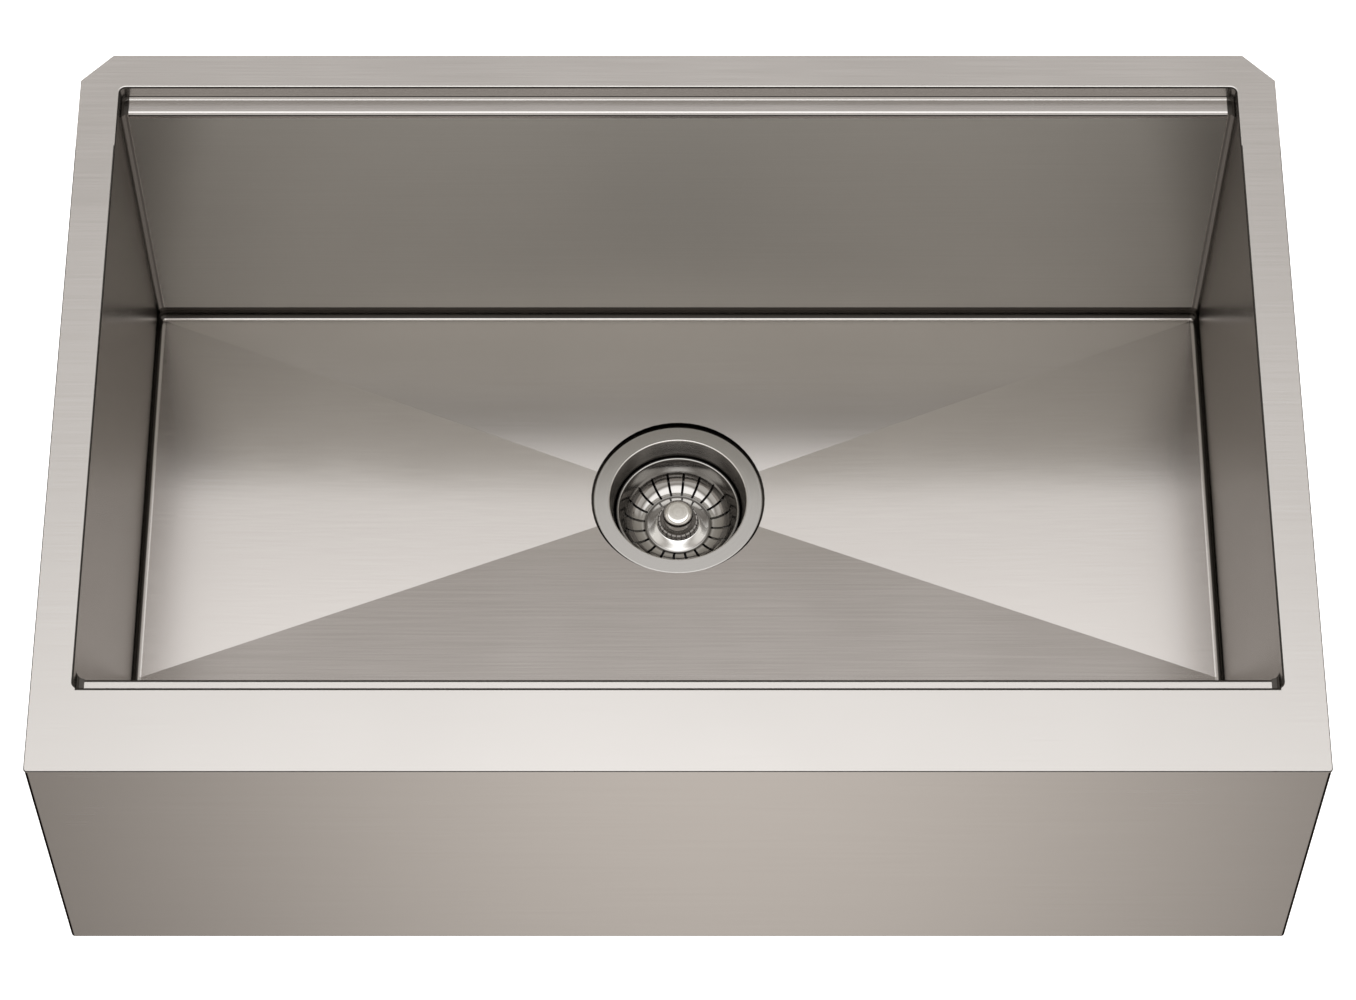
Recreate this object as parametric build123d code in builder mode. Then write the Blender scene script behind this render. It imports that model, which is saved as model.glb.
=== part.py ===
from build123d import *
import os

os.makedirs("parts", exist_ok=True)

# Farmhouse apron-front kitchen sink, in millimetres.
# +X is to the right, +Y to the back wall, +Z up.
# The origin is on the drain's axis, in the plane of the deck's top face.

# folded stainless sheet
sheet = 1.5
fold_radius = 2.5

# deck, as seen from above
deck_width = 835.0
deck_depth = 560.5
drain_from_front = 364.0
rear_chamfer = 21.5
side_rim = 27.5
front_rim = 60.5
back_rim = 27.5
opening_corner = 4.5
deck_edge_round = 0.6
opening_edge_round = 1.3

# ledges that carry sliding boards, along the front and the back
ledge_drop = 12.7
front_ledge = 13.0
back_ledge = 14.0
nose_radius = 2.5
riser_fold = 2.5

# bowl
wall_foot_depth = 274.0
drain_depth = 283.0
crease_reach = 152.0
bowl_fold = 5.5

# apron
apron_height = 255.0
apron_inset = 0.5
apron_return = 60.0
bottom_lip = 18.0

# braces from the apron's back to the bowl's front wall
brace_x = 300.0
brace_top = 45.0
brace_bottom = 225.0
brace_flange = 20.0
brace_window = (70.0, 24.0)

# sound-deadening rubber pads
pad_thickness = 3.0
pad_corner = 6.0
floor_pad_side = (150.0, 160.0)
floor_pad_side_x = 292.0
floor_pad_back = (300.0, 54.0)
floor_pad_back_y = 110.0
floor_pad_front = (420.0, 150.0)
floor_pad_front_y = -190.0
wall_pad_height = 150.0
wall_pad_mid_z = -140.0
wall_pad_long = 520.0
wall_pad_short = 260.0
front_pad_long = 480.0

# drain recess and hole in the floor
recess_radius = 63.8
recess_sink = 2.0
floor_hole = 52.5

# strainer body: radii, and depths below the flange's top face
flange_radius = 62.2
flange_thickness = 1.4
seal_thickness = 1.0
seal_inset = 1.0
lip_radius = 50.3
lip_round = 0.7
cup_ledge_radius = 46.6
cup_ledge_depth = 17.5
cup_neck_radius = 45.0
cup_neck_depth = 19.2
cup_floor_radius = 42.8
cup_floor_depth = 45.0
cup_wall = 2.0
cup_bend = 3.0
cup_outer_bend = 4.0
outlet_bend = 1.0
thread_radius = 51.9
thread_depth = 23.0
outlet_radius = 20.0
spigot_radius = 23.3
spigot_depth = 64.0

# clamping stack under the floor
gasket_radius = 63.5
gasket_thickness = 3.0
gasket_round = 1.0
friction_thickness = 1.0
friction_radius = 62.5
locknut_radius = 57.6
locknut_height = 11.0
locknut_lug_reach = 63.4
locknut_lug_bite = 1.0
locknut_lug_width = 10.0
locknut_lugs = 6
locknut_chamfer = 0.8
thread_gap = 0.05

# cross in the outlet, with the socket for the basket's post
cross_arm = 5.0
cross_top = 55.0
cross_thickness = 3.0
cross_hub = 10.0
cross_gap = 0.01
socket_outer = 8.0
socket_chamfer = 0.8
socket_inner = 5.5
socket_top = 49.5
socket_bottom = 58.5

# outlet tube, 1-1/2 inch tubular
tube_radius = 19.05
tube_wall = 1.0
tube_length = 101.6
tube_flange_radius = 22.5
tube_flange = 1.2
neck_swell = 0.4
neck_length = 8.0
washer_thickness = 2.5
washer_radius = 22.8
washer_bore = 19.0
nut_top = 50.0
nut_across_flats = 56.0
nut_shoulder = 3.5
nut_bore_gap = 0.1
nut_chamfer = 1.5

# basket: radii, and depths below the flange's top face
rim_radius = 45.8
rim_inner = 43.8
rim_top = 16.0
rim_skirt = 17.6
rim_round = 0.7
basket_wall_foot = (40.4, 26.5)
basket_bend = (37.0, 32.6)
basket_groove = (25.2, 37.2)
hub_foot = (23.2, 37.4)
hub_radius = 15.7
hub_top = 34.0
basket_sheet = 0.9
slot_count = 20
slot_inner = 24.5
slot_outer = 39.7
slot_width = 1.9
slot_turn = 2.6
slot_overcut = 2.0

# knob, post and stopper
knob_base_radius = 15.7
knob_neck_radius = 10.2
knob_cap_radius = 11.5
knob_top = 18.2
knob_cap_flat = 7.2
knob_cap_crown = (9.71, 18.9)
knob_cap_shoulder = 20.8
knob_cap_foot = 21.4
knob_cap_slope = 0.8
knob_bell_top = 23.6
knob_bell_shoulder = (12.34, 25.28)
knob_foot_height = 0.6
post_bite = 12.0
post_radius = 3.0
collar_radius = 4.5
collar_top = 44.0
sleeve_radius = 5.2
sleeve_top = 50.0
sleeve_bottom = 59.7
sleeve_chamfer = 0.5
post_end = 62.5
axial_gap = 0.3
running_gap = 0.05
stopper_radius = 26.0
stopper_boss = 10.0
stopper_shoulder = 16.0
stopper_top = 38.6
stopper_seat = 44.7
stopper_edge = 42.2
stopper_bore = 19.0
washer_plate_radius = 12.0
washer_plate_top = 43.0
plate_clearance = 3.0

# worked out from the above
front_y = -drain_from_front
back_y = front_y + deck_depth
opening_half = deck_width / 2 - side_rim
opening_front = front_y + front_rim
opening_back = back_y - back_rim
bowl_front = opening_front + front_ledge
bowl_back = opening_back - back_ledge
floor_rise = drain_depth - wall_foot_depth
side_seam = opening_half - bowl_fold
floor_seam = -wall_foot_depth + 2 * bowl_fold
ledge_seam = -ledge_drop - 2 * nose_radius
riser_seam = -ledge_drop + riser_fold
side_slope = floor_rise / (opening_half - bowl_fold)
back_slope = floor_rise / (bowl_back - bowl_fold)
front_slope = floor_rise / crease_reach
recess_floor = -drain_depth - recess_sink
flange_top = recess_floor + seal_thickness + flange_thickness
cup_outer_floor = cup_floor_depth + cup_wall


def finish(piece, name):
    # name the solid and write it to its own file
    piece.part.label = name
    export_step(piece.part, f"parts/{name}.step")


def facet(lean_x, lean_y, drop):
    # plane through the low point of the floor, rising by lean_x and lean_y
    return Plane(origin=(0, 0, -drain_depth - drop), z_dir=(-lean_x, -lean_y, 1))


def mouth_outline(grow):
    # the deck opening's outline, or a line outside it by grow
    with Locations((0, (opening_front + opening_back) / 2)):
        RectangleRounded(
            2 * (opening_half + grow),
            opening_back - opening_front + 2 * grow,
            opening_corner + grow,
        )


def on_wall(point, grow):
    # true for a point in the plane of one of the bowl's upright faces
    return (
        abs(point.X) > opening_half + grow - 1
        or point.Y > bowl_back + grow - 1
        or point.Y < bowl_front - grow + 1
    )


def bowl_space(grow, top):
    # the clear space in the bowl; with grow it is the outside of the bowl's sheet
    foot = -wall_foot_depth - grow
    with BuildPart() as space:
        # straight walls; the front facet of the floor climbs on to the front wall
        with BuildSketch(Plane.XY.offset(foot)):
            with Locations((0, (bowl_front + bowl_back) / 2)):
                Rectangle(2 * (opening_half + grow), bowl_back - bowl_front + 2 * grow)
        extrude(amount=top - foot)
        split(bisect_by=facet(0, -front_slope, grow), keep=Keep.TOP)
        folds = space.edges().filter_by(lambda e: on_wall(e.center(), grow))
        fillet(folds.filter_by(lambda e: e.center().Z < top - 1), radius=bowl_fold + grow)
        add(floor_pit(grow))
        add(mouth_space(grow, top))
        # the recess that takes the drain's flange
        with BuildSketch(Plane.XY.offset(recess_floor - grow)):
            Circle(recess_radius + grow)
        extrude(amount=recess_sink + floor_rise / 2)
    return space.part


def floor_pit(grow):
    # four creased facets from the walls' feet down to the drain
    foot_half = opening_half - bowl_fold
    foot_back = bowl_back - bowl_fold
    with BuildPart() as pit:
        with BuildSketch(Plane.XY.offset(-drain_depth - grow)):
            with Locations((0, (foot_back - crease_reach) / 2)):
                Rectangle(2 * foot_half, foot_back + crease_reach)
        extrude(amount=floor_rise)
        split(bisect_by=facet(side_slope, 0, grow), keep=Keep.TOP)
        split(bisect_by=facet(-side_slope, 0, grow), keep=Keep.TOP)
        split(bisect_by=facet(0, back_slope, grow), keep=Keep.TOP)
        split(bisect_by=facet(0, -front_slope, grow), keep=Keep.TOP)
    return pit.part


def mouth_space(grow, top):
    # the wider space above the ledges
    with BuildPart() as mouth:
        with BuildSketch(Plane.XY.offset(-ledge_drop - grow)):
            mouth_outline(grow)
        extrude(amount=top + ledge_drop + grow)
        fillet(mouth.edges().group_by(Axis.Z)[0], radius=riser_fold + grow)
    return mouth.part


# deck rim: the flat ring that the counter and the cabinet take hold of
with BuildPart() as deck_rim:
    with BuildSketch(Plane.XY.offset(-sheet)) as deck_outline:
        with Locations((0, front_y + deck_depth / 2)):
            Rectangle(deck_width, deck_depth)
        chamfer(deck_outline.vertices().group_by(Axis.Y)[-1], length=rear_chamfer)
        fillet(deck_outline.vertices().group_by(Axis.Y)[0], radius=fold_radius)
    extrude(amount=sheet)
    fillet(deck_rim.edges().group_by(Axis.Z)[-1], radius=deck_edge_round)
    with BuildSketch(Plane.XY.offset(-sheet)):
        mouth_outline(0)
    extrude(amount=sheet, mode=Mode.SUBTRACT)
    opening_rim = deck_rim.edges().group_by(Axis.Z)[-1].filter_by(
        lambda e: abs(e.center().X) < opening_half + 0.1
        and opening_front - 0.1 < e.center().Y < opening_back + 0.1
    )
    fillet(opening_rim, radius=opening_edge_round)
finish(deck_rim, "deck_rim")

# the whole bowl as folded and welded sheet, before it is divided into its panels
with BuildPart() as bowl_shell:
    add(bowl_space(sheet, -sheet))
    add(bowl_space(0, 0), mode=Mode.SUBTRACT)
    # the ledges' free edges are rounded between the bowl's upright corners
    for nose_y, inward in [(bowl_front, -1), (bowl_back, 1)]:
        with BuildSketch(Plane.YZ.offset(-side_seam)):
            with Locations((nose_y + inward * nose_radius / 2, -ledge_drop - nose_radius / 2)):
                Rectangle(nose_radius, nose_radius)
            with Locations((nose_y + inward * nose_radius, -ledge_drop - nose_radius)):
                Circle(nose_radius, mode=Mode.SUBTRACT)
        extrude(amount=2 * side_seam, mode=Mode.SUBTRACT)
    with BuildSketch(Plane.XY.offset(recess_floor - 2 * sheet)):
        Circle(floor_hole)
    extrude(amount=drain_depth, mode=Mode.SUBTRACT)

# panels of the bowl, parted at the weld lines: floor with its upturned edge,
# side walls with the bowl's upright corners, front and back walls, the two ledges
# and the risers that carry the ledges from the deck
above_floor = (Plane.XY.offset(floor_seam), Keep.TOP)
below_ledge = (Plane.XY.offset(ledge_seam), Keep.BOTTOM)
above_ledge = (Plane.XY.offset(ledge_seam), Keep.TOP)
below_riser = (Plane.XY.offset(riser_seam), Keep.BOTTOM)
above_riser = (Plane.XY.offset(riser_seam), Keep.TOP)
left_of_middle = (Plane.YZ.offset(side_seam), Keep.BOTTOM)
right_of_middle = (Plane.YZ.offset(-side_seam), Keep.TOP)
in_front = (Plane.XZ, Keep.TOP)
behind = (Plane.XZ, Keep.BOTTOM)
middle = [left_of_middle, right_of_middle]
bowl_panels = {
    "bowl_floor": [(Plane.XY.offset(floor_seam), Keep.BOTTOM)],
    "bowl_wall_left": [above_floor, (Plane.YZ.offset(-side_seam), Keep.BOTTOM)],
    "bowl_wall_right": [above_floor, (Plane.YZ.offset(side_seam), Keep.TOP)],
    "bowl_wall_front": [above_floor, below_ledge, in_front] + middle,
    "bowl_wall_back": [above_floor, below_ledge, behind] + middle,
    "ledge_front": [above_ledge, below_riser, in_front] + middle,
    "ledge_back": [above_ledge, below_riser, behind] + middle,
    "riser_front": [above_riser, in_front] + middle,
    "riser_back": [above_riser, behind] + middle,
}
for name, seams in bowl_panels.items():
    with BuildPart() as bowl_panel:
        add(bowl_shell.part)
        for seam, keep in seams:
            split(bisect_by=seam, keep=keep)
    finish(bowl_panel, name)

# apron panel: face, two side returns and a bottom lip, folded from one sheet
with BuildPart() as apron_block:
    with BuildSketch(Plane.XY.offset(-apron_height)):
        with Locations((0, front_y + apron_return / 2)):
            Rectangle(deck_width - 2 * apron_inset, apron_return)
    extrude(amount=apron_height - sheet)
    upright_folds = apron_block.edges().filter_by(Axis.Z).group_by(Axis.Y)[0]
    lower_folds = apron_block.edges().group_by(Axis.Z)[0].sort_by(Axis.Y)[:-1]
    fillet(upright_folds + lower_folds, radius=fold_radius)
with BuildPart() as apron_panel:
    add(apron_block.part)
    backs = apron_panel.faces().sort_by(Axis.Y)[-1:] + apron_panel.faces().sort_by(Axis.Z)[-1:]
    offset(amount=-sheet, openings=backs)
    with BuildSketch(Plane.XY.offset(-apron_height)):
        with Locations((0, front_y + (bottom_lip + apron_return) / 2)):
            Rectangle(
                deck_width - 2 * apron_inset - 2 * bottom_lip, apron_return - bottom_lip
            )
    extrude(amount=2 * sheet, mode=Mode.SUBTRACT)
finish(apron_panel, "apron_panel")

# braces: folded channels welded between the apron's back and the bowl's front wall
brace_front = front_y + sheet
brace_back = bowl_front - sheet
brace_height = brace_bottom - brace_top
for side, toward in [("left", -1), ("right", 1)]:
    with BuildPart() as apron_brace:
        with BuildSketch(Plane.XY.offset(-brace_bottom)):
            with Locations((toward * brace_x, (brace_front + brace_back) / 2)):
                Rectangle(sheet, brace_back - brace_front)
            flange_x = toward * (brace_x + (brace_flange - sheet) / 2)
            with Locations(
                (flange_x, brace_front + sheet / 2), (flange_x, brace_back - sheet / 2)
            ):
                Rectangle(brace_flange, sheet)
        extrude(amount=brace_height)
        # oval window that lightens the web
        with BuildSketch(Plane.YZ.offset(toward * brace_x - 2 * sheet)):
            with Locations(((brace_front + brace_back) / 2, -(brace_top + brace_bottom) / 2)):
                SlotOverall(brace_window[0], brace_window[1], rotation=90)
        extrude(amount=4 * sheet, mode=Mode.SUBTRACT)
    finish(apron_brace, f"apron_brace_{side}")

# sound pads glued under the four floor facets
for name, lean_x, lean_y, x, y, size in [
    ("left", -side_slope, 0, -floor_pad_side_x, 0, floor_pad_side),
    ("right", side_slope, 0, floor_pad_side_x, 0, floor_pad_side),
    ("front", 0, -front_slope, 0, floor_pad_front_y, floor_pad_front),
    ("back", 0, back_slope, 0, floor_pad_back_y, floor_pad_back),
]:
    under = -drain_depth - sheet + lean_x * x + lean_y * y
    slope = Plane(origin=(x, y, under), x_dir=(1, 0, lean_x), z_dir=(-lean_x, -lean_y, 1))
    with BuildPart() as floor_pad:
        with BuildSketch(slope):
            RectangleRounded(size[0], size[1], pad_corner)
        extrude(amount=-pad_thickness)
    finish(floor_pad, f"floor_pad_{name}")

# sound pads on the outside of the bowl's walls and behind the apron's face
bowl_middle = (bowl_front + bowl_back) / 2
left_wall = Plane.YZ.offset(-opening_half - sheet)
right_wall = Plane.YZ.offset(opening_half + sheet)
front_wall = Plane.XZ.offset(sheet - bowl_front)
back_wall = Plane.XZ.offset(-bowl_back - sheet)
apron_back = Plane.XZ.offset(-front_y - sheet)
for name, plane, along, length, outward in [
    ("wall_pad_left", left_wall, bowl_middle, wall_pad_short, -1),
    ("wall_pad_right", right_wall, bowl_middle, wall_pad_short, 1),
    ("wall_pad_front", front_wall, 0, front_pad_long, 1),
    ("wall_pad_back", back_wall, 0, wall_pad_long, -1),
    ("apron_pad", apron_back, 0, front_pad_long, -1),
]:
    with BuildPart() as wall_pad:
        with BuildSketch(plane):
            with Locations((along, wall_pad_mid_z)):
                RectangleRounded(length, wall_pad_height, pad_corner)
        extrude(amount=outward * pad_thickness)
    finish(wall_pad, name)


def disc(radius, top, bottom):
    # solid disc about the drain's axis; top and bottom are depths below the flange
    with BuildPart() as plain_disc:
        with BuildSketch(Plane.XY.offset(flange_top - bottom)):
            Circle(radius)
        extrude(amount=bottom - top)
    return plain_disc.part


def ring(inner, outer, top, bottom):
    # flat ring about the drain's axis, placed as a disc is
    with BuildPart() as plain_ring:
        add(disc(outer, top, bottom))
        add(disc(inner, top, bottom), mode=Mode.SUBTRACT)
    return plain_ring.part


def outer_edges(piece, radius):
    # the round edges of a turned piece at one radius
    circles = piece.edges().filter_by(GeomType.CIRCLE)
    return circles.filter_by(lambda e: abs(e.radius - radius) < 0.01)


def below(radius, depth):
    # point of a turned section, by its radius and its depth below the flange's top
    return (radius, flange_top - depth)


def corner(section, radius, depth):
    # the corner of a turned section at a radius and a depth
    return section.vertices().filter_by(
        lambda v: abs(v.X - radius) < 0.01 and abs(v.Z - flange_top + depth) < 0.01
    )


# strainer body: flange, cup with a threaded collar, outlet spigot
with BuildPart() as strainer_body:
    with BuildSketch(Plane.XZ) as body_section:
        with BuildLine():
            Polyline(
                below(flange_radius, 0),
                below(lip_radius, 0),
                below(cup_ledge_radius, cup_ledge_depth),
                below(cup_neck_radius, cup_neck_depth),
                below(cup_floor_radius, cup_floor_depth),
                below(outlet_radius, cup_floor_depth),
                below(outlet_radius, spigot_depth),
                below(spigot_radius, spigot_depth),
                below(spigot_radius, cup_outer_floor),
                below(cup_floor_radius + cup_wall, cup_outer_floor),
                below(cup_neck_radius + cup_wall, thread_depth),
                below(thread_radius, thread_depth),
                below(thread_radius, flange_thickness),
                below(flange_radius, flange_thickness),
                close=True,
            )
        make_face()
        fillet(corner(body_section, flange_radius, 0), radius=flange_thickness / 2)
        fillet(corner(body_section, lip_radius, 0), radius=lip_round)
        fillet(corner(body_section, cup_floor_radius, cup_floor_depth), radius=cup_bend)
        fillet(corner(body_section, outlet_radius, cup_floor_depth), radius=outlet_bend)
        cup_outer_corner = corner(body_section, cup_floor_radius + cup_wall, cup_outer_floor)
        fillet(cup_outer_corner, radius=cup_outer_bend)
    revolve(axis=Axis.Z)
finish(strainer_body, "strainer_body")

# cross pressed into the outlet, and the socket for the basket's post
with BuildPart() as strainer_cross:
    with BuildSketch(Plane.XY.offset(flange_top - cross_top - cross_thickness)):
        Rectangle(2 * outlet_radius, cross_arm)
        Rectangle(cross_arm, 2 * outlet_radius)
        Circle(cross_hub)
        Circle(outlet_radius - cross_gap, mode=Mode.INTERSECT)
        Circle(socket_outer, mode=Mode.SUBTRACT)
    extrude(amount=cross_thickness)
finish(strainer_cross, "strainer_cross")

with BuildPart() as post_socket:
    add(ring(socket_inner, socket_outer, socket_top, socket_bottom))
    chamfer(post_socket.edges().group_by(Axis.Z)[-1], length=socket_chamfer)
finish(post_socket, "post_socket")

# clamping stack: seal, gasket, friction ring and locknut
under_floor = flange_thickness + seal_thickness + sheet
friction_top = under_floor + gasket_thickness
locknut_top = friction_top + friction_thickness

with BuildPart() as flange_seal:
    seal_outer = flange_radius - seal_inset
    add(ring(floor_hole, seal_outer, flange_thickness, flange_thickness + seal_thickness))
finish(flange_seal, "flange_seal")

with BuildPart() as sink_gasket:
    add(ring(floor_hole, gasket_radius, under_floor, friction_top))
    lower_edges = sink_gasket.edges().group_by(Axis.Z)[0]
    fillet(lower_edges.sort_by(SortBy.RADIUS)[-1], radius=gasket_round)
finish(sink_gasket, "sink_gasket")

with BuildPart() as friction_ring:
    add(ring(floor_hole, friction_radius, friction_top, locknut_top))
finish(friction_ring, "friction_ring")

with BuildPart() as strainer_locknut:
    with BuildSketch(Plane.XY.offset(flange_top - locknut_top - locknut_height)):
        Circle(locknut_radius)
        lug_foot = locknut_radius - locknut_lug_bite
        with PolarLocations((lug_foot + locknut_lug_reach) / 2, locknut_lugs):
            Rectangle(locknut_lug_reach - lug_foot, locknut_lug_width)
        Circle(thread_radius + thread_gap, mode=Mode.SUBTRACT)
    extrude(amount=locknut_height)
    chamfer(strainer_locknut.edges().group_by(Axis.Z)[0], length=locknut_chamfer)
finish(strainer_locknut, "strainer_locknut")

# outlet: slip washer, flanged tailpiece and the nut that holds them to the spigot
tube_top = spigot_depth + washer_thickness
tube_end = tube_top + tube_length
nut_bottom = tube_top + tube_flange + nut_shoulder

with BuildPart() as slip_washer:
    add(ring(washer_bore, washer_radius, spigot_depth, tube_top))
finish(slip_washer, "slip_washer")

with BuildPart() as tailpiece:
    add(disc(tube_radius, tube_top, tube_end))
    add(disc(tube_flange_radius, tube_top, tube_top + tube_flange))
    add(disc(tube_radius + neck_swell, tube_top, tube_top + neck_length))
    add(disc(tube_radius - tube_wall, tube_top, tube_end), mode=Mode.SUBTRACT)
finish(tailpiece, "tailpiece")

with BuildPart() as coupling_nut:
    with BuildSketch(Plane.XY.offset(flange_top - nut_bottom)):
        RegularPolygon(nut_across_flats / 2, 6, major_radius=False)
    extrude(amount=nut_bottom - nut_top)
    chamfer(coupling_nut.edges().group_by(Axis.Z)[0], length=nut_chamfer)
    chamfer(coupling_nut.edges().group_by(Axis.Z)[-1], length=nut_chamfer)
    add(disc(spigot_radius + nut_bore_gap, nut_top, tube_top + tube_flange), mode=Mode.SUBTRACT)
    add(disc(tube_radius + 2 * neck_swell, nut_top, nut_bottom), mode=Mode.SUBTRACT)
finish(coupling_nut, "coupling_nut")

# basket: rolled rim, tapered wall, curved slotted foot and raised hub, from one sheet
with BuildPart() as basket_cup:
    with BuildSketch(Plane.XZ) as cup_section:
        with BuildLine():
            wall = Line(below(rim_inner, rim_top), below(*basket_wall_foot))
            bend = ThreePointArc(wall @ 1, below(*basket_bend), below(*basket_groove))
            step = Line(bend @ 1, below(*hub_foot))
            dome = Line(step @ 1, below(hub_radius, hub_top))
            Line(dome @ 1, below(post_radius, hub_top))
            offset(amount=basket_sheet, side=Side.LEFT)
        make_face()
    revolve(axis=Axis.Z)
    with BuildSketch(Plane.XZ) as rim_section:
        with BuildLine():
            Polyline(
                below(rim_inner, rim_top),
                below(rim_radius, rim_top),
                below(rim_radius, rim_skirt),
                below(rim_inner, rim_skirt),
                close=True,
            )
        make_face()
        fillet(corner(rim_section, rim_radius, rim_top), radius=rim_round)
        fillet(corner(rim_section, rim_radius, rim_skirt), radius=rim_round)
    revolve(axis=Axis.Z)
    # slots through the foot, half a step and a small turn off the front-to-back line
    with BuildSketch(Plane.XY.offset(flange_top - basket_groove[1] - slot_overcut)):
        slot_middle = (slot_inner + slot_outer) / 2
        with PolarLocations(slot_middle, slot_count, start_angle=180 / slot_count + slot_turn):
            SlotOverall(slot_outer - slot_inner, slot_width)
    extrude(amount=basket_groove[1] - rim_top, mode=Mode.SUBTRACT)
finish(basket_cup, "basket_cup")

# knob: bell-shaped base, short neck and crowned cap, bored for the post
knob_seat = hub_top
with BuildPart() as basket_knob:
    with BuildSketch(Plane.XZ):
        with BuildLine():
            Line(below(0, knob_top), below(knob_cap_flat, knob_top))
            crown = ThreePointArc(
                below(knob_cap_flat, knob_top),
                below(*knob_cap_crown),
                below(knob_cap_radius, knob_cap_shoulder),
            )
            Polyline(
                crown @ 1,
                below(knob_cap_radius, knob_cap_foot),
                below(knob_neck_radius, knob_cap_foot + knob_cap_slope),
                below(knob_neck_radius, knob_bell_top),
            )
            bell = ThreePointArc(
                below(knob_neck_radius, knob_bell_top),
                below(*knob_bell_shoulder),
                below(knob_base_radius, knob_seat - knob_foot_height),
            )
            Polyline(
                bell @ 1,
                below(knob_base_radius, knob_seat),
                below(0, knob_seat),
                below(0, knob_top),
            )
        make_face()
    revolve(axis=Axis.Z)
    add(disc(post_radius, knob_seat - post_bite, knob_seat), mode=Mode.SUBTRACT)
finish(basket_knob, "basket_knob")

# post: rod with a collar above the sleeve and a head below it
with BuildPart() as basket_post:
    with BuildSketch(Plane.XZ):
        with BuildLine():
            Polyline(
                below(0, knob_seat - post_bite),
                below(post_radius, knob_seat - post_bite),
                below(post_radius, collar_top),
                below(collar_radius, collar_top),
                below(collar_radius, sleeve_top - axial_gap),
                below(post_radius, sleeve_top - axial_gap),
                below(post_radius, sleeve_bottom + axial_gap),
                below(collar_radius, sleeve_bottom + axial_gap),
                below(post_radius, post_end),
                below(0, post_end),
                close=True,
            )
        make_face()
    revolve(axis=Axis.Z)
finish(basket_post, "basket_post")

# sleeve that clicks into the socket; the post turns inside it
with BuildPart() as post_sleeve:
    add(ring(post_radius + running_gap, sleeve_radius, sleeve_top, sleeve_bottom))
    chamfer(outer_edges(post_sleeve, sleeve_radius), length=sleeve_chamfer)
finish(post_sleeve, "post_sleeve")

# rubber stopper under the basket, with the steel plate that holds it on the post
with BuildPart() as stopper_seal:
    with BuildSketch(Plane.XZ):
        with BuildLine():
            Polyline(
                below(post_radius, hub_top + basket_sheet),
                below(stopper_boss, hub_top + basket_sheet),
                below(stopper_boss, stopper_top),
                below(stopper_shoulder, stopper_top),
                below(stopper_radius, stopper_edge),
                below(stopper_radius, stopper_seat),
                below(stopper_bore, stopper_seat),
                below(washer_plate_radius + plate_clearance, washer_plate_top),
                below(post_radius, washer_plate_top),
                close=True,
            )
        make_face()
    revolve(axis=Axis.Z)
finish(stopper_seal, "stopper_seal")

with BuildPart() as seal_plate:
    add(ring(post_radius, washer_plate_radius, washer_plate_top, collar_top))
finish(seal_plate, "seal_plate")
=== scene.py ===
import bpy
import math
from mathutils import Matrix, Vector


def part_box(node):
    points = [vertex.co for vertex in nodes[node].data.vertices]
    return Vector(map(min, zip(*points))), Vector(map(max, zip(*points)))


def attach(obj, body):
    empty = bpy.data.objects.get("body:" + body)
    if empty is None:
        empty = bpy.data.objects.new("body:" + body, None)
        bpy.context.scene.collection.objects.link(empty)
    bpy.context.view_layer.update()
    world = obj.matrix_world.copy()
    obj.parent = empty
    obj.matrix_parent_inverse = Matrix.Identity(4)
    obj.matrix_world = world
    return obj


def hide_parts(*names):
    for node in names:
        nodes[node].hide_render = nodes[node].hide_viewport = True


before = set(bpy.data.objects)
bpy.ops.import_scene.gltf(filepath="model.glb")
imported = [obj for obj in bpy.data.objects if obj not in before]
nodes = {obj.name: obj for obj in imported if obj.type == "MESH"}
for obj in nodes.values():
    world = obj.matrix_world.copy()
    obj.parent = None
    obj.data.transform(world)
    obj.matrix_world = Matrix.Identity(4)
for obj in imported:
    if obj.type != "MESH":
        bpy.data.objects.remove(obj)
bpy.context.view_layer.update()        # CAD nodes from model.glb
print("frame loaded:", len(nodes), "nodes")


def clearSelection():
    bpy.ops.object.select_all(action='DESELECT')


clearSelection()

# camera: metres from the drain's axis at deck height, degrees below the horizon
shot = {
    "place": (0.0, -1.5978, 2.4784), "pitchDown": 59.95, "lens": 115.16, "sensor": 36.0, "seesTo": 50,
}


def addCamera(s):
    tilt = math.radians(90 - s["pitchDown"])
    bpy.ops.object.camera_add(location=s["place"], rotation=(tilt, 0, 0))
    camera = bpy.context.object
    camera.name = "photoCamera"
    camera.data.sensor_fit = 'HORIZONTAL'
    camera.data.sensor_width = s["sensor"]
    camera.data.lens = s["lens"]
    camera.data.clip_end = s["seesTo"]
    bpy.context.scene.camera = camera
    bpy.context.scene.view_settings.view_transform = 'Standard'


addCamera(shot)
print("camera placed")


def feed(tree, socket, value):
    if isinstance(value, bpy.types.NodeSocket):
        tree.links.new(value, socket)
    else:
        socket.default_value = value


def maths(tree, operation, *values):
    node = tree.nodes.new("ShaderNodeMath")
    node.operation = operation
    for socket, value in zip(node.inputs, values):
        feed(tree, socket, value)
    return node.outputs["Value"]


def eased(tree, value, start, end, low=0.0, high=1.0):
    # low up to start, high from end, and a smooth step between them
    node = tree.nodes.new("ShaderNodeMapRange")
    node.interpolation_type = 'SMOOTHSTEP'
    for key, setting in zip(("Value", "From Min", "From Max", "To Min", "To Max"),
                            (value, start, end, low, high)):
        feed(tree, node.inputs[key], setting)
    return node.outputs["Result"]


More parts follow.
